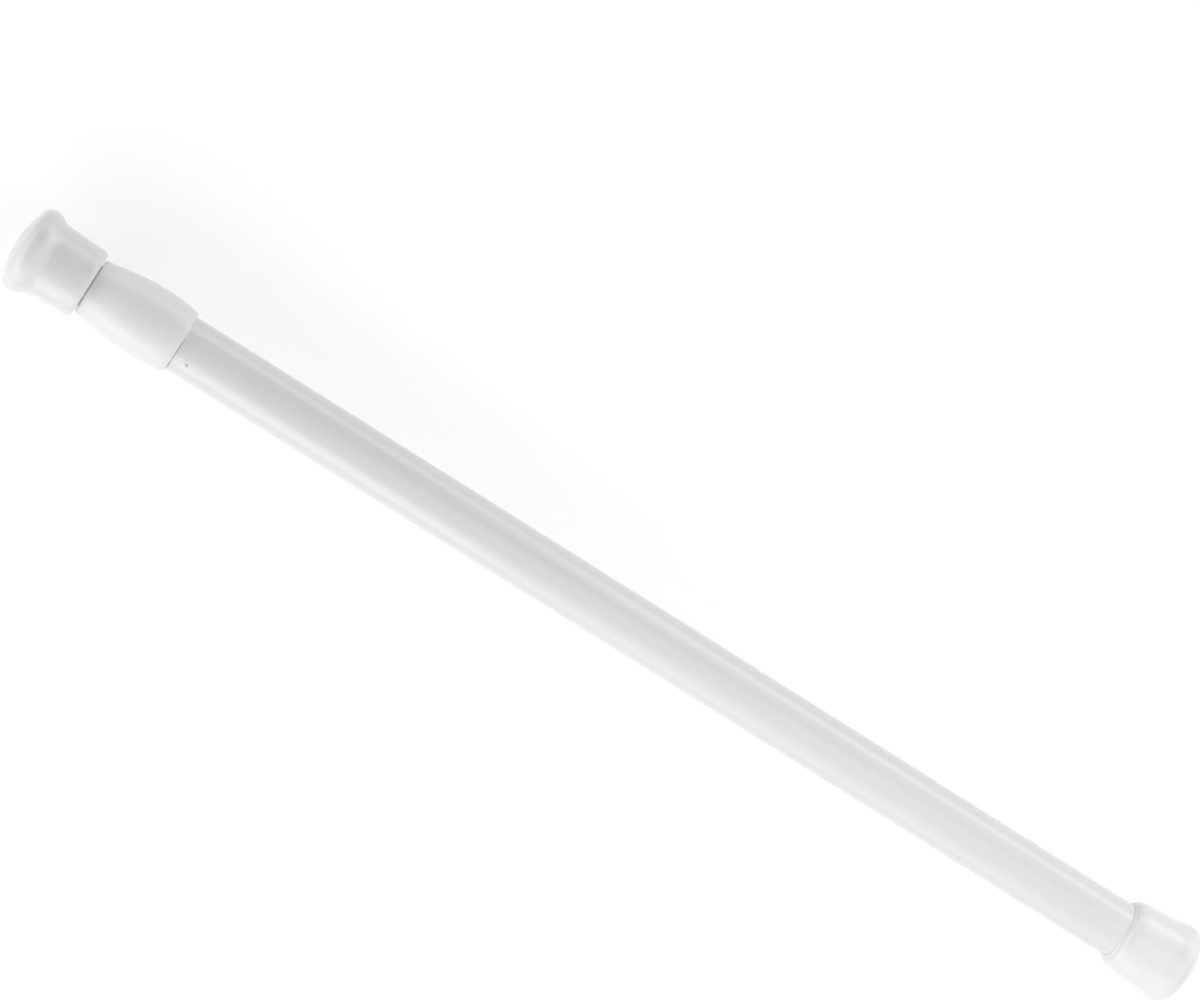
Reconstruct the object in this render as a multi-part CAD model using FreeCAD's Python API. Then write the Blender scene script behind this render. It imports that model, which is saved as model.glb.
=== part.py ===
import FreeCAD, Part
import math
import os

os.makedirs("parts", exist_ok=True)

# Spring tension rod, fully closed. X runs along the rod: 0 is the pad of the outer end cap,
# +X leads to the inner end cap. All sizes are in mm.

closed_length = 304.8
extension_travel = 200.0
spring_stroke = 15.0

# Tubes
outer_tube_od = 13.0
inner_tube_od = 10.0
tube_wall = 0.5

# Fits and gaps
press_gap = 0.02
running_gap = 0.05
stop_gap = 0.3
parking_gap = 0.45
shell_gap = 0.12

# Broken edges of the small parts, and what tools and joined bodies reach past a face
edge_break = 0.4
overcut = 1.0
overlap = 0.1

# Outer end cap, over the large tube
outer_cap_length = 18.0
outer_cap_floor = 4.2
outer_cap_mouth_d = 14.0
outer_cap_lip_d = 16.7
outer_cap_lip = 2.6
outer_cap_waist_d = 18.0
outer_cap_rim_d = 19.2
outer_cap_flare = 3.2
outer_cap_shoulder_r = 3.2

# Inner end cap, over the small tube
inner_cap_length = 17.5
inner_cap_floor = 4.5
inner_cap_mouth_d = 15.0
inner_cap_lip_d = 16.2
inner_cap_lip = 1.2
inner_cap_waist_d = 16.8
inner_cap_rim_d = 19.6
inner_cap_flare = 4.45
inner_cap_shoulder_r = 2.5

# Both end caps
pad_d = 5.0
dome_radius = 21.0
lip_slope = 2.0
mouth_chamfer = 0.05
mouth_chamfer_length = 0.3

# Collar
collar_length = 22.4
collar_nose_d = 12.9
collar_belly_d = 16.2
collar_heel_d = 15.56
collar_heel = 2.5
collar_tail_d = 14.2
collar_belly_share = 0.62
collar_reach = 10.0
spigot_past_tail = 6.2
nose_edge = 0.3
nose_slope = 0.17
heel_slope = 0.16
tail_slope = 0.6

# Punch mark that stakes the tube to the collar's spigot
punch_from_tail = 3.5
punch_d = 0.8
punch_depth = 0.35
punch_angle = 30.0
punch_tip_share = 0.15
pocket_gap = 0.15

# Lock at the inner end of the small tube
lock_start = 8.0
spindle_d = 5.0
spindle_tip = 2.4
shoulder_d = 9.0
shoulder_width = 1.7
flat_depth = 0.4
clip_from_tip = 0.7
clip_groove = 0.8
clip_groove_depth = 0.6
clip_thickness = 0.6
clip_reach = 1.3
clip_mouth_share = 0.8
thread_lead = 1.25
lock_turns = 1.5
cone_flange_d = 11.2
cone_flange = 2.2
cone_length = 12.0
cone_big_d = 9.8
cone_small_d = 7.2
key_width = 1.3
key_length = 7.5
sleeve_length = 18.5
sleeve_hub = 7.0
throat_setback = 1.0
jaw_slots = 4
slot_width = 1.7
grip_grooves = 3
grip_from_mouth = 1.0
grip_pitch = 3.0
grip_depth = 0.3
grip_width = 1.2

# End bush, its guide ring and the stop on the spindle
bush_flange_d = 9.2
bush_flange = 1.5
neck_d = 7.2
ring_width = 5.8
ring_play = 0.2
ring_split = 1.2
bush_shoulder = 1.0
bush_plug = 12.0
crimp_depth = 0.3
crimp_width = 1.6
crimp_gap = 0.1
washer_d = 8.4
washer_thickness = 1.2
screw_head_d = 4.4
screw_head = 1.6
head_side_share = 0.7
head_top_share = 0.6
screw_shank_d = 2.2
screw_length = 9.0
screw_end_gap = 1.0
screw_point = 1.0
recess_reach = 1.3
recess_slot = 0.6
recess_depth = 0.9

# Spring and its seat
spring_length = 45.0
spring_mean_d = 7.2
wire_d = 1.0
spring_coils = 10
wire_sides = 6
steps_per_coil = 8
coil_gap = 0.1
seat_length = 8.0
seat_pin_d = 5.6
seat_pin = 4.0

# Derived places
outer_r = outer_tube_od / 2
bore_r = outer_r - tube_wall
inner_r = inner_tube_od / 2
inner_bore_r = inner_r - tube_wall
inner_cap_mouth = closed_length - inner_cap_length
collar_nose = inner_cap_mouth - parking_gap
collar_tail = collar_nose - collar_length
outer_tube_end = collar_nose - collar_reach
spigot_end = collar_tail - spigot_past_tail
punch_x = collar_tail - punch_from_tail
cone_travel = thread_lead * lock_turns
sleeve_start = lock_start + cone_flange + cone_travel + stop_gap
sleeve_end = sleeve_start + sleeve_length
shoulder_x = sleeve_end + running_gap
bush_start = shoulder_x + shoulder_width + spring_stroke + stop_gap
neck_start = bush_start + bush_flange
neck_end = neck_start + ring_width + 2 * ring_play
inner_tube_start = neck_end + bush_shoulder
bush_end = inner_tube_start + bush_plug
washer_x = bush_end + stop_gap
spring_start = washer_x + washer_thickness
spring_end = spring_start + spring_length
ring_end = neck_end - ring_play
free_travel = spigot_end - ring_end

if free_travel < extension_travel:
    print("note: the guide ring meets the collar after %.1f mm" % free_travel)


def point(x, r):
    return FreeCAD.Vector(x, r, 0)


def line(a, b):
    return Part.makeLine(point(*a), point(*b))


def chain(points):
    return [line(a, b) for a, b in zip(points, points[1:])]


def arc(a, heading, b):
    """Arc from a to b that leaves a along heading."""
    start = point(*a)
    end = point(*b)
    across = FreeCAD.Vector(-heading.y, heading.x, 0)
    span = end - start
    centre = start + across * (span.dot(span) / (2 * across.dot(span)))
    outward = ((start + end) * 0.5 - centre).normalize()
    return Part.Arc(start, centre + outward * (start - centre).Length, end).toShape()


def blend(a, slope_a, b, slope_b):
    """Two arcs that leave a at one slope, flow into each other and reach b at another slope."""
    out = point(1, slope_a).normalize()
    back = point(1, slope_b).normalize()
    span = point(*b) - point(*a)
    both = out + back
    turn = 2 * (1 - out.dot(back))
    along = span.dot(both)
    reach = (math.sqrt(along ** 2 + turn * span.dot(span)) - along) / turn
    middle = (point(*a) + out * reach + point(*b) - back * reach) * 0.5
    join = (middle.x, middle.y)
    return [arc(a, out, join), arc(b, back * -1, join)]


def turned(edges):
    """Turns a closed profile, drawn as x and radius, about the rod's axis."""
    face = Part.Face(Part.Wire(Part.__sortEdges__(edges)))
    return face.revolve(FreeCAD.Vector(0, 0, 0), FreeCAD.Vector(1, 0, 0), 360)


def turned_points(points):
    return turned(chain(points + points[:1]))


def rod(x0, x1, r):
    return Part.makeCylinder(r, x1 - x0, FreeCAD.Vector(x0, 0, 0), FreeCAD.Vector(1, 0, 0))


def tube(x0, x1, r_out, r_in):
    return rod(x0, x1, r_out).cut(rod(x0 - overcut, x1 + overcut, r_in))


def block(x0, x1, y0, y1, z0, z1):
    corner = FreeCAD.Vector(x0, y0, z0)
    return Part.makeBox(x1 - x0, y1 - y0, z1 - z0, corner)


def about_axis(shape, degrees):
    copy = shape.copy()
    copy.rotate(FreeCAD.Vector(0, 0, 0), FreeCAD.Vector(1, 0, 0), degrees)
    return copy


def save(name, shape):
    solid = shape.removeSplitter()
    if len(solid.Solids) != 1:
        raise ValueError("%s has %d solids" % (name, len(solid.Solids)))
    solid.Solids[0].exportStep("parts/%s.step" % name)


def cap(length, floor, mouth_d, lip, lip_d, flare, waist_d, rim_d, shoulder_r, hole_r):
    """Soft moulded cap with its mouth at x = 0 and its domed pad at x = length."""
    mouth_r = mouth_d / 2
    lip_r = lip_d / 2
    waist_r = waist_d / 2
    rim_r = rim_d / 2
    pad_r = pad_d / 2
    throat_r = hole_r + mouth_chamfer
    dome_x = length - math.sqrt(dome_radius ** 2 - pad_r ** 2)
    shoulder_base = rim_r - shoulder_r
    lean = math.asin(shoulder_base / (dome_radius - shoulder_r))
    rim_x = dome_x + (dome_radius - shoulder_r) * math.cos(lean)
    flare_start = rim_x - flare
    slope = (waist_r - lip_r) / (flare_start - lip)

    def on_shoulder(angle):
        return point(rim_x + shoulder_r * math.cos(angle), shoulder_base + shoulder_r * math.sin(angle))

    def on_dome(angle):
        return point(dome_x + dome_radius * math.cos(angle), dome_radius * math.sin(angle))

    edges = [line((0, throat_r), (0, mouth_r))]
    edges += blend((0, mouth_r), lip_slope, (lip, lip_r), slope)
    edges += [line((lip, lip_r), (flare_start, waist_r))]
    edges += blend((flare_start, waist_r), slope, (rim_x, rim_r), 0)
    middle = (math.pi / 2 + lean) / 2
    edges += [Part.Arc(point(rim_x, rim_r), on_shoulder(middle), on_dome(lean)).toShape()]
    middle = (lean + math.asin(pad_r / dome_radius)) / 2
    edges += [Part.Arc(on_dome(lean), on_dome(middle), point(length, pad_r)).toShape()]
    edges += chain([
        (length, pad_r),
        (length, 0),
        (length - floor, 0),
        (length - floor, hole_r),
        (mouth_chamfer_length, hole_r),
        (0, throat_r),
    ])
    return turned(edges)


def outer_end_cap():
    shape = cap(
        outer_cap_length, outer_cap_floor, outer_cap_mouth_d, outer_cap_lip, outer_cap_lip_d,
        outer_cap_flare, outer_cap_waist_d, outer_cap_rim_d, outer_cap_shoulder_r,
        outer_r + press_gap,
    )
    shape.rotate(FreeCAD.Vector(0, 0, 0), FreeCAD.Vector(0, 0, 1), 180)
    shape.translate(FreeCAD.Vector(outer_cap_length, 0, 0))
    return shape


def inner_end_cap():
    shape = cap(
        inner_cap_length, inner_cap_floor, inner_cap_mouth_d, inner_cap_lip, inner_cap_lip_d,
        inner_cap_flare, inner_cap_waist_d, inner_cap_rim_d, inner_cap_shoulder_r,
        inner_r + press_gap,
    )
    shape.translate(FreeCAD.Vector(inner_cap_mouth, 0, 0))
    return shape


def punch(radius, r_mouth, depth):
    """Cone that points at the axis, at the punch mark's place."""
    cone = Part.makeCone(
        r_mouth, punch_tip_share * r_mouth, depth,
        FreeCAD.Vector(punch_x, 0, radius), FreeCAD.Vector(0, 0, -1),
    )
    return about_axis(cone, -punch_angle)


def outer_tube():
    body = tube(outer_cap_floor + press_gap, outer_tube_end - press_gap, outer_r, bore_r)
    half_wall = tube_wall / 2
    bump = punch(bore_r + half_wall, punch_d / 2 + half_wall, punch_depth + half_wall)
    dent = punch(outer_r + press_gap, punch_d / 2, punch_depth + press_gap)
    return body.fuse(bump).cut(dent)


def collar():
    """Moulded shell outside the tube and a spigot inside it, joined at the nose."""
    nose_r = collar_nose_d / 2
    belly_r = collar_belly_d / 2
    tail_r = collar_tail_d / 2
    heel_r = collar_heel_d / 2
    belly = collar_length * collar_belly_share
    heel_x = collar_length - collar_heel
    outline = chain([(0, inner_r + running_gap), (0, nose_r - nose_edge), (nose_edge, nose_r)])
    outline += blend((nose_edge, nose_r), nose_slope, (belly, belly_r), 0)
    outline += blend((belly, belly_r), 0, (heel_x, heel_r), -heel_slope)
    outline += blend((heel_x, heel_r), -heel_slope, (collar_length, tail_r), -tail_slope)
    outline += chain([
        (collar_length, tail_r),
        (collar_length, outer_r + shell_gap),
        (collar_reach, outer_r + shell_gap),
        (collar_reach, bore_r - press_gap),
        (collar_length + spigot_past_tail, bore_r - press_gap),
        (collar_length + spigot_past_tail, inner_r + running_gap),
        (0, inner_r + running_gap),
    ])
    shape = turned(outline)
    shape.rotate(FreeCAD.Vector(0, 0, 0), FreeCAD.Vector(0, 0, 1), 180)
    shape.translate(FreeCAD.Vector(collar_nose, 0, 0))
    pocket_spread = tube_wall / 2 + pocket_gap
    pocket = punch(bore_r + tube_wall / 2, punch_d / 2 + pocket_spread, punch_depth + pocket_spread)
    return shape.cut(pocket)


def inner_tube():
    body = tube(inner_tube_start, closed_length - inner_cap_floor - press_gap, inner_r, inner_bore_r)
    return body.fuse(crimp(0)).cut(crimp(tube_wall))


def crimp(raised):
    """Ring rolled into the tube's end, on its bore side, or the groove it leaves outside."""
    middle = inner_tube_start + bush_plug / 2
    half = crimp_width / 2
    base = inner_bore_r + raised + overlap
    tip = inner_bore_r + raised - crimp_depth
    return turned_points([
        (middle - half, base),
        (middle - half / 3, tip),
        (middle + half / 3, tip),
        (middle + half, base),
    ])


def double_d(x0, x1, r, depth):
    """Round bar with a flat on each side."""
    keep = block(x0, x1, -r - overcut, r + overcut, depth - r, r - depth)
    return rod(x0, x1, r).common(keep)


def end_bush():
    plug_r = inner_bore_r - press_gap
    middle = inner_tube_start + bush_plug / 2
    half = crimp_width / 2 + crimp_gap
    groove_r = inner_bore_r - crimp_depth - press_gap
    body = turned_points([
        (bush_start, 0),
        (bush_start, bush_flange_d / 2 - edge_break),
        (bush_start + edge_break, bush_flange_d / 2),
        (neck_start, bush_flange_d / 2),
        (neck_start, neck_d / 2),
        (neck_end, neck_d / 2),
        (neck_end, inner_r - press_gap),
        (inner_tube_start - press_gap, inner_r - press_gap),
        (inner_tube_start - press_gap, plug_r),
        (middle - half, plug_r),
        (middle - half / 3, groove_r),
        (middle + half / 3, groove_r),
        (middle + half, plug_r),
        (bush_end - edge_break, plug_r),
        (bush_end, plug_r - edge_break),
        (bush_end, 0),
    ])
    hole_r = spindle_d / 2 + running_gap
    hole = double_d(bush_start - overcut, bush_end + overcut, hole_r, flat_depth)
    return body.cut(hole)


def guide_ring():
    x0 = neck_start + ring_play
    x1 = ring_end
    top = bore_r - running_gap
    ring = turned_points([
        (x0, neck_d / 2 + running_gap),
        (x0, top - edge_break),
        (x0 + edge_break, top),
        (x1 - edge_break, top),
        (x1, top - edge_break),
        (x1, neck_d / 2 + running_gap),
    ])
    split = block(x0 - overcut, x1 + overcut, 0, bore_r, -ring_split / 2, ring_split / 2)
    return ring.cut(split)


def spindle():
    r = spindle_d / 2
    tip = lock_start - spindle_tip
    groove = tip + clip_from_tip
    threaded = turned_points([
        (tip, 0),
        (tip, r - edge_break),
        (tip + edge_break, r),
        (groove, r),
        (groove, r - clip_groove_depth),
        (groove + clip_groove, r - clip_groove_depth),
        (groove + clip_groove, r),
        (shoulder_x, r),
        (shoulder_x, shoulder_d / 2),
        (shoulder_x + shoulder_width, shoulder_d / 2),
        (shoulder_x + shoulder_width, 0),
    ])
    shank_start = shoulder_x + shoulder_width - overlap
    shank = double_d(shank_start, washer_x - press_gap, r, flat_depth)
    hole = rod(washer_x - screw_length, washer_x, screw_shank_d / 2 + press_gap)
    return threaded.fuse(shank).cut(hole)


def end_clip():
    """Spring clip in the groove at the spindle's tip, open to one side."""
    groove = lock_start - spindle_tip + clip_from_tip
    x0 = groove + (clip_groove - clip_thickness) / 2
    x1 = x0 + clip_thickness
    r_out = spindle_d / 2 + clip_reach
    r_in = spindle_d / 2 - clip_groove_depth + press_gap
    half_mouth = r_in * clip_mouth_share
    mouth = block(x0 - overcut, x1 + overcut, 0, r_out + overcut, -half_mouth, half_mouth)
    return tube(x0, x1, r_out, r_in).cut(mouth)


def stop_washer():
    return tube(washer_x, spring_start, washer_d / 2, screw_shank_d / 2 + press_gap)


def stop_screw():
    tip = washer_x - screw_length + screw_end_gap
    start = spring_start + press_gap
    end = start + screw_head
    head_r = screw_head_d / 2
    body = turned_points([
        (tip, 0),
        (tip + screw_point, screw_shank_d / 2),
        (start, screw_shank_d / 2),
        (start, head_r),
        (start + head_side_share * screw_head, head_r),
        (end, head_top_share * head_r),
        (end, 0),
    ])
    slot = block(
        end - recess_depth, end + overcut,
        -recess_reach, recess_reach, -recess_slot / 2, recess_slot / 2,
    )
    return body.cut(slot).cut(about_axis(slot, 90))


def cone_radius(x):
    """Radius of the lock cone's taper at x."""
    share = (x - lock_start - cone_flange) / (cone_length - cone_flange)
    return (cone_big_d + (cone_small_d - cone_big_d) * share) / 2


def lock_cone():
    flange_end = lock_start + cone_flange
    end = lock_start + cone_length
    body = turned_points([
        (lock_start, 0),
        (lock_start, cone_flange_d / 2 - edge_break),
        (lock_start + edge_break, cone_flange_d / 2),
        (flange_end, cone_flange_d / 2),
        (flange_end, cone_big_d / 2),
        (end, cone_small_d / 2),
        (end, 0),
    ])
    key = block(flange_end - overlap, flange_end + key_length, -key_width / 2, key_width / 2, 0, bore_r)
    limit = rod(lock_start, end, cone_flange_d / 2)
    for turn in range(2):
        body = body.fuse(about_axis(key.common(limit), 180 * turn))
    return body.cut(rod(lock_start - overcut, end + overcut, spindle_d / 2 + running_gap))


def lock_sleeve():
    """Hub on the spindle and jaws that the cone spreads, with grip grooves round them."""
    top = bore_r - running_gap - press_gap
    jaw_end = sleeve_end - sleeve_hub
    angle = math.atan((cone_big_d - cone_small_d) / 2 / (cone_length - cone_flange))
    ease = cone_travel * math.tan(angle) + running_gap
    mouth_r = cone_radius(sleeve_start) + ease
    throat = jaw_end - throat_setback
    throat_r = cone_radius(throat) + ease
    hole_r = spindle_d / 2 + running_gap
    body = turned_points([
        (sleeve_start, mouth_r),
        (sleeve_start, top - edge_break),
        (sleeve_start + edge_break, top),
        (sleeve_end - edge_break, top),
        (sleeve_end, top - edge_break),
        (sleeve_end, hole_r),
        (throat, hole_r),
        (throat, throat_r),
    ])
    for number in range(grip_grooves):
        x0 = sleeve_start + grip_from_mouth + number * grip_pitch
        body = body.cut(tube(x0, x0 + grip_width, top + overcut, top - grip_depth))
    slot = block(sleeve_start - overcut, jaw_end, -slot_width / 2, slot_width / 2, 0, bore_r)
    for number in range(jaw_slots):
        body = body.cut(about_axis(slot, number * 360 / jaw_slots))
    return body


def spring():
    """Wire on one helix with its two end coils closed up, in short straight runs to stay light."""
    mean_r = spring_mean_d / 2
    wire_r = wire_d / 2
    first = spring_start + wire_r + press_gap
    last = spring_end - wire_r - press_gap
    closed_pitch = wire_d + coil_gap
    open_pitch = (last - first - 2 * closed_pitch) / spring_coils
    total = (spring_coils + 2) * steps_per_coil
    places = []
    x = first
    for step in range(total + 1):
        angle = 2 * math.pi * step / steps_per_coil
        places.append(FreeCAD.Vector(x, mean_r * math.cos(angle), mean_r * math.sin(angle)))
        near_end = step < steps_per_coil or step >= total - steps_per_coil
        x += (closed_pitch if near_end else open_pitch) / steps_per_coil
    path = Part.makePolygon(places)
    heading = (places[1] - places[0]).normalize()
    circle = Part.makeCircle(wire_r, places[0], heading)
    section = Part.makePolygon(circle.discretize(wire_sides + 1))
    return path.makePipeShell([section], True, False, 1)


def spring_seat():
    r = inner_bore_r - press_gap
    return turned_points([
        (spring_end - seat_pin, 0),
        (spring_end - seat_pin, seat_pin_d / 2 - edge_break),
        (spring_end - seat_pin + edge_break, seat_pin_d / 2),
        (spring_end, seat_pin_d / 2),
        (spring_end, r),
        (spring_end + seat_length, r),
        (spring_end + seat_length, 0),
    ])


save("outer_tube", outer_tube())
save("outer_end_cap", outer_end_cap())
save("collar", collar())
save("inner_tube", inner_tube())
save("inner_end_cap", inner_end_cap())
save("guide_ring", guide_ring())
save("end_bush", end_bush())
save("spindle", spindle())
save("end_clip", end_clip())
save("stop_washer", stop_washer())
save("stop_screw", stop_screw())
save("lock_cone", lock_cone())
save("lock_sleeve", lock_sleeve())
save("spring", spring())
save("spring_seat", spring_seat())
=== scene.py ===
import math

import bmesh
import bpy
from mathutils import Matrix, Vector


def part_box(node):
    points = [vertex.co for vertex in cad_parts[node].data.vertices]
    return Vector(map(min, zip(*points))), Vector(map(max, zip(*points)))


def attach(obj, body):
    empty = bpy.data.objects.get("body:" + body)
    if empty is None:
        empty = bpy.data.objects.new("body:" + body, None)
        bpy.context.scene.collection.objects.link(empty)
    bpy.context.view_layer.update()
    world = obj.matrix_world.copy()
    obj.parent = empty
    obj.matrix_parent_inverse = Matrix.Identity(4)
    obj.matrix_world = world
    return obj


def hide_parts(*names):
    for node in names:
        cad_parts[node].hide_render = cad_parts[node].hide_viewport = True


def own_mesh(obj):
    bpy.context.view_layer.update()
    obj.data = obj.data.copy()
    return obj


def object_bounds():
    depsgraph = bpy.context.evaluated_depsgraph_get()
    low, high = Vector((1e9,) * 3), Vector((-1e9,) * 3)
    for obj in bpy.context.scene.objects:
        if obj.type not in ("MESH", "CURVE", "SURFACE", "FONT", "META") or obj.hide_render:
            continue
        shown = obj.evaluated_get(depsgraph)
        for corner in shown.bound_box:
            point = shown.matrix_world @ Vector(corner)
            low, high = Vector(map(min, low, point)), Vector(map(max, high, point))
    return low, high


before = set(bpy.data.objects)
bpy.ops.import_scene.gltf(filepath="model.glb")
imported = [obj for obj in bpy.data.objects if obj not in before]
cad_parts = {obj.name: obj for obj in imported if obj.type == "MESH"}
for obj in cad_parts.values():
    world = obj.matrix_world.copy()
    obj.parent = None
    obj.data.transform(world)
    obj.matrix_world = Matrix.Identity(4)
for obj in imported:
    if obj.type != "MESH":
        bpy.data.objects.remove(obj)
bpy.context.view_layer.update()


# Outer tube. The large telescoping tube is thin welded steel with a smooth white powder coat.
# Its end is staked to the collar with one punch mark, where the coat is broken and looks dark.
# A painted shade line darkens the tube along the collar's tail on one half, and the coat has a few
# small flecks.

def new_material(name):
    """A material with its nodes, its shader and the place on the piece that patterns go by."""
    material = bpy.data.materials.new(name)
    material.use_nodes = True
    tree = material.node_tree
    shader = tree.nodes["Principled BSDF"]
    place = tree.nodes.new("ShaderNodeTexCoord").outputs["Object"]
    return material, tree, shader, place


def noise(tree, place, size, detail=2.0, stretch=(1, 1, 1)):
    """Noise with lumps about this many metres across, drawn out along the axes by stretch."""
    mapping = tree.nodes.new("ShaderNodeMapping")
    mapping.inputs["Scale"].default_value = [1 / (size * s) for s in stretch]
    texture = tree.nodes.new("ShaderNodeTexNoise")
    texture.inputs["Scale"].default_value = 1.0
    texture.inputs["Detail"].default_value = detail
    tree.links.new(place, mapping.inputs["Vector"])
    tree.links.new(mapping.outputs["Vector"], texture.inputs["Vector"])
    return texture.outputs["Fac"]


def ramp(tree, value, low, high, from_low=0.3, from_high=0.7):
    """Turns a 0 to 1 value into a range of numbers or of colours."""
    node = tree.nodes.new("ShaderNodeMix" if isinstance(low, tuple) else "ShaderNodeMapRange")
    if isinstance(low, tuple):
        node.data_type = "RGBA"
        node.inputs["A"].default_value = (*low, 1)
        node.inputs["B"].default_value = (*high, 1)
        share = ramp(tree, value, 0.0, 1.0, from_low, from_high)
        tree.links.new(share, node.inputs["Factor"])
        return node.outputs["Result"]
    node.inputs["From Min"].default_value = from_low
    node.inputs["From Max"].default_value = from_high
    node.inputs["To Min"].default_value = low
    node.inputs["To Max"].default_value = high
    tree.links.new(value, node.inputs["Value"])
    return node.outputs["Result"]


def bump(tree, height, distance, strength=1.0, under=None):
    """Relief of this depth in metres, on top of another relief where one is given."""
    node = tree.nodes.new("ShaderNodeBump")
    node.inputs["Distance"].default_value = distance
    node.inputs["Strength"].default_value = strength
    tree.links.new(height, node.inputs["Height"])
    if under:
        tree.links.new(under, node.inputs["Normal"])
    return node.outputs["Normal"]


def near_point(tree, place, centre, inner, outer):
    """1 within inner metres of a point, falling to 0 at outer metres."""
    distance = tree.nodes.new("ShaderNodeVectorMath")
    distance.operation = "DISTANCE"
    distance.inputs[1].default_value = centre
    tree.links.new(place, distance.inputs[0])
    return ramp(tree, distance.outputs["Value"], 1.0, 0.0, inner, outer)


def mix_colour(tree, share, under, over):
    """The colour over laid on the one under, as far as share says."""
    node = tree.nodes.new("ShaderNodeMix")
    node.data_type = "RGBA"
    node.inputs["B"].default_value = (*over, 1)
    tree.links.new(share, node.inputs["Factor"])
    tree.links.new(under, node.inputs["A"])
    return node.outputs["Result"]


def link(name, mesh, material):
    """Puts a mesh in the scene, smooth apart from its sharp edges."""
    sharp_from = math.radians(40)
    mesh.polygons.foreach_set("use_smooth", [True] * len(mesh.polygons))
    mesh.set_sharp_from_angle(angle=sharp_from)
    mesh.materials.append(material)
    made = bpy.data.objects.new(name, mesh)
    bpy.context.collection.objects.link(made)
    return made


def spread(low, high, step):
    """Evenly spaced places from low to high, no further apart than step."""
    count = max(1, math.ceil((high - low) / step))
    return [low + (high - low) * i / count for i in range(count + 1)]


def turned_shell(name, material, outside, inside, turns, dent=None):
    """Tube wall turned about X from two lines of (x, radius); dent gives a depth for x and turn."""
    loop = outside + inside[::-1]
    mesh = bpy.data.meshes.new(name)
    points = []
    for place, (x, radius) in enumerate(loop):
        for turn in turns:
            depth = dent(x, turn) if dent and place < len(outside) else 0.0
            points.append((x, (radius - depth) * math.sin(turn), (radius - depth) * math.cos(turn)))
    count = len(turns)
    faces = []
    for i in range(len(loop)):
        after = (i + 1) % len(loop)
        for j in range(count):
            beside = (j + 1) % count
            faces.append((i * count + j, after * count + j,
                          after * count + beside, i * count + beside))
    mesh.from_pydata(points, [], faces)
    mesh.update()
    return link(name, mesh, material)


def rolled_wall(low, high, radius, wall, edge, step):
    """The outside and inside lines of a tube's wall with its ends slightly rounded."""
    outside = [(low, radius - edge)] + [(x, radius) for x in spread(low + edge, high - edge, step)]
    outside += [(high, radius - edge)]
    inner = radius - wall
    inside = [(low, inner + edge), (low + edge, inner), (high - edge, inner), (high, inner + edge)]
    return outside, inside


# All sizes are in metres.
punch_from_collar = 0.0035
punch_turn = math.radians(30)
punch_radius = 0.0004
punch_depth = 0.00025
punch_step = 0.0001
punch_turn_step = 0.015
near_punch = 0.0008
tube_low, tube_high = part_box("outer_tube")
tube_radius = tube_high[2]
tube_wall = 0.0005
end_round = 0.00008
ring_step = 0.008
turn_step = math.radians(3)
collar_length = 0.0224
collar_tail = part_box("collar")[1][0] - collar_length
cap_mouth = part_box("outer_end_cap")[1][0]
punch_x = collar_tail - punch_from_collar
# Dark colour of the punch mark and the flecks, also used for painted shade.
dirt_and_shade = (0.25, 0.24, 0.22)
mark_core = 0.3
# Painted shade on the tube just beyond the collar's tail, where the tail meets the tube.
tail_shade_start = collar_tail - 0.0004
tail_shade_end = collar_tail - 0.0001
tail_shade_fade = 0.002
tail_shade_share = 0.7
# Along the tube, degrees around it, radius and darkness: the punch mark, a painted shade
# spot for the gap in the outer cap's mouth, and two faint flecks.
marks = [
    (punch_x, math.degrees(punch_turn), punch_radius, 1.0),
    # Painted shade: this dark spot stands for the shade in the gap between the outer cap's lip and
    # the tube.
    (cap_mouth + 0.0003, 72, 0.0006, 0.8),
    (collar_tail - 0.0105, -9, 0.0005, 0.05),
    (collar_tail - 0.0490, 14, 0.0004, 0.06),
]

coat, tree, shader, place = new_material("white_powder_coat")
cloud = noise(tree, place, 0.03, 3, stretch=(3, 1, 1))
white = ramp(tree, cloud, (0.80, 0.80, 0.785), (0.83, 0.83, 0.815))


def on_tube(x, turn):
    """A place on the tube's surface."""
    return (x, tube_radius * math.sin(turn), tube_radius * math.cos(turn))


def maths(tree, operation, a, b):
    """One step of arithmetic on two values, each a socket or a number."""
    node = tree.nodes.new("ShaderNodeMath")
    node.operation = operation
    for socket, value in zip(node.inputs, (a, b)):
        if isinstance(value, (int, float)):
            socket.default_value = value
        else:
            tree.links.new(value, socket)
    return node.outputs["Value"]


for x, degrees, radius, share in marks:
    centre = on_tube(x, math.radians(degrees))
    mark = near_point(tree, place, centre, radius * mark_core, radius)
    white = mix_colour(tree, maths(tree, "MULTIPLY", mark, share), white, dirt_and_shade)
sides = tree.nodes.new("ShaderNodeSeparateXYZ")
tree.links.new(place, sides.inputs["Vector"])
# Painted shade along the collar's tail, fading in across the tube's middle so that only the +Y half
# is darkened.
tail_shade = ramp(tree, sides.outputs["X"], 0.0, 1.0, tail_shade_start, tail_shade_end)
shaded_half = ramp(tree, sides.outputs["Y"], 0.0, tail_shade_share, -tail_shade_fade, 0.0)
white = mix_colour(tree, maths(tree, "MULTIPLY", tail_shade, shaded_half), white, dirt_and_shade)
tree.links.new(white, shader.inputs["Base Color"])
scuffs = noise(tree, place, 0.0008, 2, stretch=(14, 1, 1))
tree.links.new(ramp(tree, scuffs, 0.13, 0.19), shader.inputs["Roughness"])
peel = noise(tree, place, 0.0012, 2)
tree.links.new(bump(tree, peel, 0.000004, 0.5), shader.inputs["Normal"])


def punch_dent(x, turn):
    """Depth of the dished punch mark."""
    away = math.hypot(x - punch_x, (turn - punch_turn) * tube_radius)
    return punch_depth * max(0.0, 1 - (away / punch_radius) ** 2)


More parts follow.
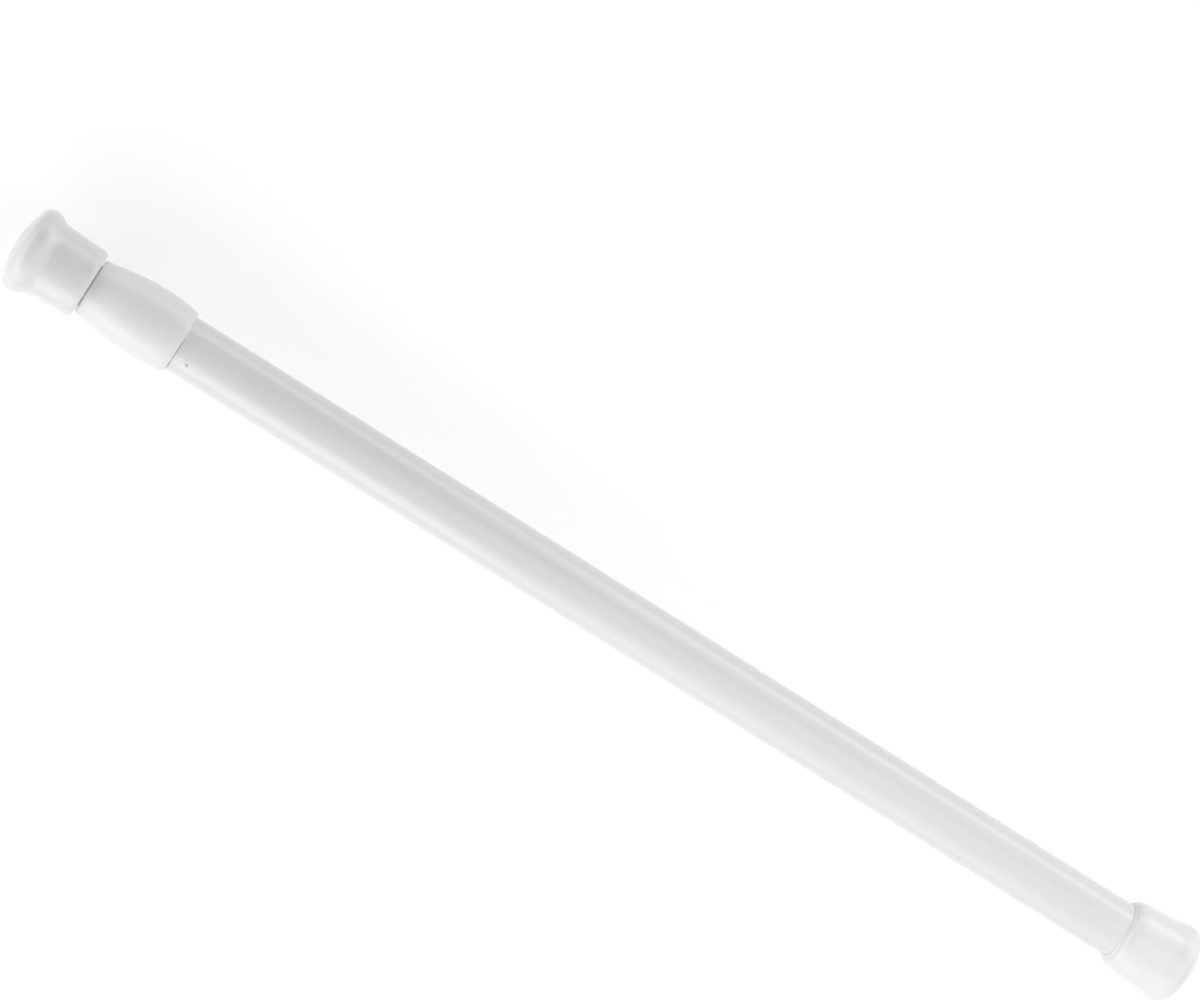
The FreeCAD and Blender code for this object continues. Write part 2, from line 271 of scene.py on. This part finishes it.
outside, inside = rolled_wall(tube_low[0], tube_high[0], tube_radius, tube_wall,
                              end_round, ring_step)
outside += [(x, tube_radius)
            for x in spread(punch_x - near_punch, punch_x + near_punch, punch_step)]
outside.sort()
spare = near_punch / tube_radius
turns = spread(punch_turn - spare, punch_turn + spare, punch_turn_step)
turns += spread(punch_turn + spare, punch_turn - spare + 2 * math.pi, turn_step)[1:-1]
tube = turned_shell("large_tube", coat, outside, inside, turns, punch_dent)
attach(tube, "outer_half")
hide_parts("outer_tube")


# Inner tube. The small telescoping tube is the same thin steel with the same coat, and has
# fine rub marks along it from sliding in the collar's bore. A groove rolled near its end
# crimps it onto the bush.

def around(step):
    """Turns of a full circle, no further apart than step."""
    return spread(0, 2 * math.pi, step)[:-1]


coat, tree, shader, place = new_material("white_coat_rubbed")
cloud = noise(tree, place, 0.03, 3, stretch=(3, 1, 1))
white = ramp(tree, cloud, (0.79, 0.79, 0.775), (0.82, 0.82, 0.805))
tree.links.new(white, shader.inputs["Base Color"])
rubs = noise(tree, place, 0.0004, 2, stretch=(60, 1, 1))
tree.links.new(ramp(tree, rubs, 0.24, 0.42), shader.inputs["Roughness"])
tree.links.new(bump(tree, rubs, 0.000008, 0.6), shader.inputs["Normal"])
small_low, small_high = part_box("inner_tube")
small_radius = small_high[2]
crimp_from_end = 0.006
crimp_x = small_low[0] + crimp_from_end
crimp_half = 0.0008
crimp_floor_half = 0.0003
crimp_depth = 0.00035
crimp_reach = 0.001
outside, inside = rolled_wall(small_low[0], small_high[0], small_radius, tube_wall,
                              end_round, ring_step)
outside = [(x, radius) for x, radius in outside if abs(x - crimp_x) > crimp_reach]
crimp = [
    (crimp_x - crimp_half, small_radius),
    (crimp_x - crimp_floor_half, small_radius - crimp_depth),
    (crimp_x + crimp_floor_half, small_radius - crimp_depth),
    (crimp_x + crimp_half, small_radius),
]
outside = sorted(outside + crimp)
inside = inside[:2] + [(x, radius - tube_wall) for x, radius in crimp] + inside[2:]
tube = turned_shell("small_tube", coat, outside, inside, around(turn_step))
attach(tube, "inner_half")
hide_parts("inner_tube")


# Collar. A hard white moulding pushed onto the large tube's end; its tapered shell grips
# the tube and its nose guides the small one. The surface is smooth with soft flow marks.

def paint(node, material):
    """Gives a carried-over solid this material in each of its slots."""
    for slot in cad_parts[node].material_slots:
        slot.material = material


plastic, tree, shader, place = new_material("white_moulded_plastic")
flow = noise(tree, place, 0.006, 3, stretch=(3, 1, 1))
white = ramp(tree, flow, (0.855, 0.86, 0.855), (0.88, 0.885, 0.88))
tree.links.new(white, shader.inputs["Base Color"])
haze = noise(tree, place, 0.002, 3)
tree.links.new(ramp(tree, haze, 0.28, 0.36), shader.inputs["Roughness"])
tree.links.new(bump(tree, flow, 0.00002, 0.4), shader.inputs["Normal"])
shader.inputs["Subsurface Weight"].default_value = 0.08
shader.inputs["Subsurface Scale"].default_value = 0.002
shader.inputs["Subsurface Radius"].default_value = (1.0, 0.95, 0.85)
paint("collar", plastic)


# End caps. Soft white vinyl, dip-moulded thick so that it grips the wall; they are pushed
# over the tubes' ends. The skin is satin, a little uneven, and picks up faint grime. Each
# mouth ends in a small rolled lip; the outer cap's lip hugs the tube.

def vinyl(name, dull, bright):
    """Soft white vinyl, mottled between two colours, with faint grime."""
    material, tree, shader, place = new_material(name)
    mottle = noise(tree, place, 0.007, 1)
    tint = ramp(tree, mottle, dull, bright, 0.1, 0.9)
    grime = ramp(tree, noise(tree, place, 0.003, 3), 0.0, 0.20, 0.55, 0.95)
    tree.links.new(mix_colour(tree, grime, tint, (0.72, 0.72, 0.70)), shader.inputs["Base Color"])
    tree.links.new(ramp(tree, mottle, 0.15, 0.23, 0.1, 0.9), shader.inputs["Roughness"])
    skin = bump(tree, noise(tree, place, 0.005, 2), 0.00008, 0.5)
    grain = noise(tree, place, 0.0005, 2)
    tree.links.new(bump(tree, grain, 0.00001, 0.4, under=skin), shader.inputs["Normal"])
    shader.inputs["Subsurface Weight"].default_value = 0.15
    shader.inputs["Subsurface Scale"].default_value = 0.003
    shader.inputs["Subsurface Radius"].default_value = (1.0, 0.95, 0.85)
    return material


# Both caps are the same vinyl; the outer cap's copy is painted a shade lighter and the inner cap's
# a shade darker, as painted light and painted shade at the two ends.
lit_outer_vinyl = vinyl("outer_cap_vinyl", (0.86, 0.86, 0.845), (0.885, 0.885, 0.87))
paint("outer_end_cap", lit_outer_vinyl)
shaded_inner_vinyl = vinyl("inner_cap_vinyl", (0.82, 0.82, 0.82), (0.85, 0.85, 0.85))
paint("inner_end_cap", shaded_inner_vinyl)


def rolled_lip(name, body, material, mouth, reach, top, height, sweep):
    """Rounded edge at a cap's mouth, from the radius top inwards; reach runs along X."""
    root = mouth - reach / 4
    edge_step = math.radians(9)
    edge = [(root, top)]
    for turned in spread(0, math.radians(sweep), edge_step):
        edge.append((mouth + reach * math.sin(turned), top - height + height * math.cos(turned)))
    lip = turned_shell(name, material, edge, [(root, edge[-1][1])], around(turn_step))
    if reach < 0:
        lip.data.flip_normals()
    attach(lip, body)


inner_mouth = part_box("inner_end_cap")[0][0]
rolled_lip("outer_cap_lip", "outer_half", lit_outer_vinyl, cap_mouth,
           reach=0.0005, top=tube_radius + 0.0005, height=0.00049, sweep=90)
rolled_lip("inner_cap_lip", "inner_half", shaded_inner_vinyl, inner_mouth,
           reach=-0.0002, top=0.0075, height=0.0003, sweep=180)


# Bush, guide ring, sleeve and seat. Natural nylon mouldings that never show: waxy, milky,
# with moulding haze. They are crimped, snapped or pressed into the tubes.

nylon, tree, shader, place = new_material("natural_nylon")
milk = noise(tree, place, 0.003, 3)
cream = ramp(tree, milk, (0.74, 0.72, 0.64), (0.80, 0.78, 0.71))
tree.links.new(cream, shader.inputs["Base Color"])
tree.links.new(ramp(tree, milk, 0.38, 0.52), shader.inputs["Roughness"])
tree.links.new(bump(tree, noise(tree, place, 0.0006, 2), 0.00001, 0.5), shader.inputs["Normal"])
shader.inputs["Subsurface Weight"].default_value = 0.2
shader.inputs["Subsurface Scale"].default_value = 0.002
shader.inputs["Subsurface Radius"].default_value = (1.0, 0.9, 0.75)
for name in ("end_bush", "guide_ring", "lock_sleeve", "spring_seat"):
    paint(name, nylon)


# Spindle and cone. Dark filled nylon. The spindle's front end carries the coarse right-hand
# thread that draws the cone; past its shoulder it has two flats and a hole for the screw.

dark, tree, shader, place = new_material("dark_filled_nylon")
speck = noise(tree, place, 0.0007, 3)
black = ramp(tree, speck, (0.018, 0.018, 0.02), (0.035, 0.035, 0.038))
tree.links.new(black, shader.inputs["Base Color"])
tree.links.new(ramp(tree, speck, 0.38, 0.52), shader.inputs["Roughness"])
tree.links.new(bump(tree, speck, 0.00001, 0.5), shader.inputs["Normal"])
paint("lock_cone", dark)


def swept(name, material, rings):
    """Closed mesh through a row of rings with as many points each, its two ends capped."""
    built = bmesh.new()
    rows = [[built.verts.new(point) for point in ring] for ring in rings]
    for row, after in zip(rows, rows[1:]):
        for i in range(len(row)):
            j = (i + 1) % len(row)
            built.faces.new((row[i], row[j], after[j], after[i]))
    built.faces.new(rows[0][::-1])
    built.faces.new(rows[-1])
    bmesh.ops.recalc_face_normals(built, faces=built.faces)
    mesh = bpy.data.meshes.new(name)
    built.to_mesh(mesh)
    built.free()
    return link(name, mesh, material)


shank_radius = 0.0025
tip_edge = 0.0004
thread_lead = 0.00125
thread_depth = 0.0004
thread_fade = 0.0008
crest_share = 0.3
flank_share = 0.4
steps_a_lead = 10
flat_depth = 0.0004
groove_radius = 0.0019
groove_spare = 0.0001
thread_from_groove = 0.0002
thread_past_cone = 0.0035
sleeve_gap = 0.00005
shoulder_width = 0.0017
hole_radius = 0.00112
hole_depth = 0.00898
spindle_turns = around(math.radians(5))
spindle_tip, spindle_end = (corner[0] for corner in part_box("spindle"))
shoulder_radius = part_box("spindle")[1][2]
shoulder_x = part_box("lock_sleeve")[1][0] + sleeve_gap
groove_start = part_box("end_clip")[0][0] - groove_spare
groove_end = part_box("end_clip")[1][0] + groove_spare
thread_start = groove_end + thread_from_groove
thread_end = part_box("lock_cone")[1][0] + thread_past_cone


def thread_cut(x, turn):
    """Depth of the thread: flat crests and roots, and fading out at both ends."""
    wave = abs(2 * ((x / thread_lead + turn / (2 * math.pi)) % 1) - 1)
    fade = min(1.0, (x - thread_start) / thread_fade, (thread_end - x) / thread_fade)
    flank = min(1.0, max(0.0, (wave - crest_share) / flank_share))
    return thread_depth * max(0.0, fade) * flank


def flats_cut(x, turn):
    """Depth of the two flats, which face up and down."""
    upright = max(abs(math.cos(turn)), 0.01)
    return max(0.0, shank_radius - (shank_radius - flat_depth) / upright)


def spindle_ring(x, radius, cut=None):
    """Points around the spindle at x, with what cut takes off."""
    ring = []
    for turn in spindle_turns:
        away = radius - (cut(x, turn) if cut else 0.0)
        ring.append((x, away * math.sin(turn), away * math.cos(turn)))
    return ring


shoulder_back = shoulder_x + shoulder_width
tip = [
    (spindle_tip, shank_radius - tip_edge), (spindle_tip + tip_edge, shank_radius),
    (groove_start, shank_radius), (groove_start, groove_radius),
    (groove_end, groove_radius), (groove_end, shank_radius),
]
shoulder = [
    (shoulder_x, shank_radius), (shoulder_x, shoulder_radius), (shoulder_back, shoulder_radius),
]
hole = [(spindle_end, hole_radius), (spindle_end - hole_depth, hole_radius)]
thread_places = spread(thread_start, thread_end, thread_lead / steps_a_lead)
rings = [spindle_ring(x, radius) for x, radius in tip]
rings += [spindle_ring(x, shank_radius, thread_cut) for x in thread_places]
rings += [spindle_ring(x, radius) for x, radius in shoulder]
rings += [spindle_ring(x, shank_radius, flats_cut) for x in (shoulder_back, spindle_end)]
rings += [spindle_ring(x, radius) for x, radius in hole]
spindle = swept("threaded_spindle", dark, rings)
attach(spindle, "screw")
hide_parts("spindle")


# Spring. Round drawn steel wire coiled by machine, its end coils closed. It stands in
# the small tube between the washer and the seat and shortens as the spindle is pushed in.

steel, tree, shader, place = new_material("drawn_spring_wire")
drawn = noise(tree, place, 0.0003, 3, stretch=(1, 1, 6))
grey = ramp(tree, drawn, (0.38, 0.38, 0.39), (0.50, 0.50, 0.51))
tree.links.new(grey, shader.inputs["Base Color"])
tree.links.new(ramp(tree, drawn, 0.22, 0.38), shader.inputs["Roughness"])
tree.links.new(bump(tree, drawn, 0.000005, 0.5), shader.inputs["Normal"])
shader.inputs["Metallic"].default_value = 1.0

wire_radius = 0.0005
coil_radius = 0.0036
open_coils = 10
closed_pitch = 0.0011
steps_a_turn = 32
wire_sides = 10
spring_low, spring_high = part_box("spring")
coil_start = spring_low[0] + wire_radius
coil_length = spring_high[0] - wire_radius - coil_start
open_pitch = (coil_length - 2 * closed_pitch) / open_coils
total_steps = (open_coils + 2) * steps_a_turn

rings = []
spins = [2 * math.pi * side / wire_sides for side in range(wire_sides)]
along = Vector((1, 0, 0))
x = coil_start
for step in range(total_steps + 1):
    turned = 2 * math.pi * step / steps_a_turn
    outward = Vector((0, math.cos(turned), math.sin(turned)))
    centre = along * x + outward * coil_radius
    rings.append([centre + (outward * math.cos(spin) + along * math.sin(spin)) * wire_radius
                  for spin in spins])
    closed = step < steps_a_turn or step >= total_steps - steps_a_turn
    x += (closed_pitch if closed else open_pitch) / steps_a_turn
spring = swept("spring_wire", steel, rings)
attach(spring, "inner_half")
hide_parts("spring")
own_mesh(spring)


# Clip, washer and screw. Small zinc-plated steel parts, bright with a slightly cloudy plate.
# The clip snaps into the groove at the spindle's tip; the screw holds the washer to its end.

zinc, tree, shader, place = new_material("bright_zinc_plate")
plate = noise(tree, place, 0.0009, 4)
silver = ramp(tree, plate, (0.60, 0.61, 0.63), (0.72, 0.73, 0.75))
tree.links.new(silver, shader.inputs["Base Color"])
tree.links.new(ramp(tree, plate, 0.20, 0.34), shader.inputs["Roughness"])
tree.links.new(bump(tree, plate, 0.000006, 0.5), shader.inputs["Normal"])
shader.inputs["Metallic"].default_value = 1.0
for name in ("end_clip", "stop_washer", "stop_screw"):
    paint(name, zinc)


# Floor. A matt white sheet on which the rod lies with its rims touching. The camera sees it
# near white, and it keeps the rod's soft shadow. Away from the rod it fades to plain white.

def background_seen(tree):
    """1 where the background is seen, directly or in a surface; 0 where it would give light."""
    ray = tree.nodes.new("ShaderNodeLightPath").outputs
    mirrored = maths(tree, "MAXIMUM", ray["Is Glossy Ray"], ray["Is Transmission Ray"])
    return maths(tree, "MAXIMUM", ray["Is Camera Ray"], mirrored)


rod_low, rod_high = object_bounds()
sheet_half = 3.0
rim_gap = 0.0001
floor_glow = 0.45
glow_inner = 0.3
glow_outer = 0.6
sheet = bpy.data.meshes.new("floor")
corners = [(-sheet_half, -sheet_half), (sheet_half, -sheet_half),
           (sheet_half, sheet_half), (-sheet_half, sheet_half)]
sheet.from_pydata([(x, y, rod_low[2] - rim_gap) for x, y in corners], [], [(0, 1, 2, 3)])
floor = bpy.data.objects.new("floor", sheet)
bpy.context.collection.objects.link(floor)
paper, tree, shader, place = new_material("white_paper")
shader.inputs["Base Color"].default_value = (0.80, 0.80, 0.80, 1)
shader.inputs["Roughness"].default_value = 0.9
shader.inputs["Specular IOR Level"].default_value = 0.0
shader.inputs["Emission Color"].default_value = (1, 1, 1, 1)
rod_middle = ((rod_low[0] + rod_high[0]) / 2, 0, rod_low[2])
near_rod = near_point(tree, place, rod_middle, glow_inner, glow_outer)
glow = ramp(tree, near_rod, 1.0, floor_glow, 0.0, 1.0)
seen_glow = maths(tree, "MULTIPLY", background_seen(tree), glow)
tree.links.new(seen_glow, shader.inputs["Emission Strength"])
sheet.materials.append(paper)


# Light. A white tent of soft boxes: low ones on both sides and beyond the inner cap, and
# dimmer ones overhead, so that the rod is darkest where it faces the camera.

def soft_box(name, place, aim, width, height, brightness):
    """Soft box that gives the same brightness at any size; 1 is as bright as white paper."""
    lamp = bpy.data.lights.new(name, "AREA")
    lamp.shape = "RECTANGLE"
    lamp.size = width
    lamp.size_y = height
    lamp.energy = brightness * math.pi * width * height
    box = bpy.data.objects.new(name, lamp)
    box.location = place
    box.rotation_euler = (Vector(aim) - Vector(place)).to_track_quat("-Z", "Y").to_euler()
    box.visible_camera = False
    bpy.context.collection.objects.link(box)


soft_box("near_box", (0.70, 0.60, 0.245), (0.70, 0, 0.245), 1.2, 0.49, 2.17)
soft_box("near_fill", (-0.55, 0.60, 0.245), (-0.55, 0, 0.245), 1.3, 0.49, 1.09)
soft_box("near_high", (0.15, 0.60, 0.70), (0.15, 0, 0), 1.8, 0.40, 0.60)
soft_box("top_box", (-0.35, 0, 0.75), (-0.35, 0, 0), 0.6, 1.6, 0.79)
soft_box("top_right", (-0.20, 0, 0.45), (-0.05, 0, 0), 0.4, 0.8, 0.81)
soft_box("end_box", (1.30, 0, 0.30), (0.3, 0, 0.30), 1.5, 0.60, 2.17)
soft_box("far_low", (0.15, -0.60, 0.15), (0.15, 0, 0.15), 1.8, 0.30, 1.30)
soft_box("far_right", (-0.30, -0.50, 0.30), (0, 0, 0), 0.8, 0.5, 1.23)
world = bpy.data.worlds.new("soft_sky")
world.use_nodes = True
tree = world.node_tree
tree.links.new(background_seen(tree), tree.nodes["Background"].inputs["Strength"])
tree.nodes["Background"].inputs["Color"].default_value = (1, 1, 1, 1)
bpy.context.scene.world = world
bpy.context.scene.view_settings.view_transform = "Standard"


# Camera. High above the rod and tipped a little towards the outer cap, turned so that the
# rod runs from the upper left to the lower right.

camera_data = bpy.data.cameras.new("camera")
camera_data.sensor_width = 36
camera_data.lens = 108
camera = bpy.data.objects.new("camera", camera_data)
camera.location = (0.2920, -0.0192, 0.7729)
camera.rotation_mode = "ZYX"
camera.rotation_euler = (0, math.radians(9.0), math.radians(212.28))
bpy.context.collection.objects.link(camera)
bpy.context.scene.camera = camera
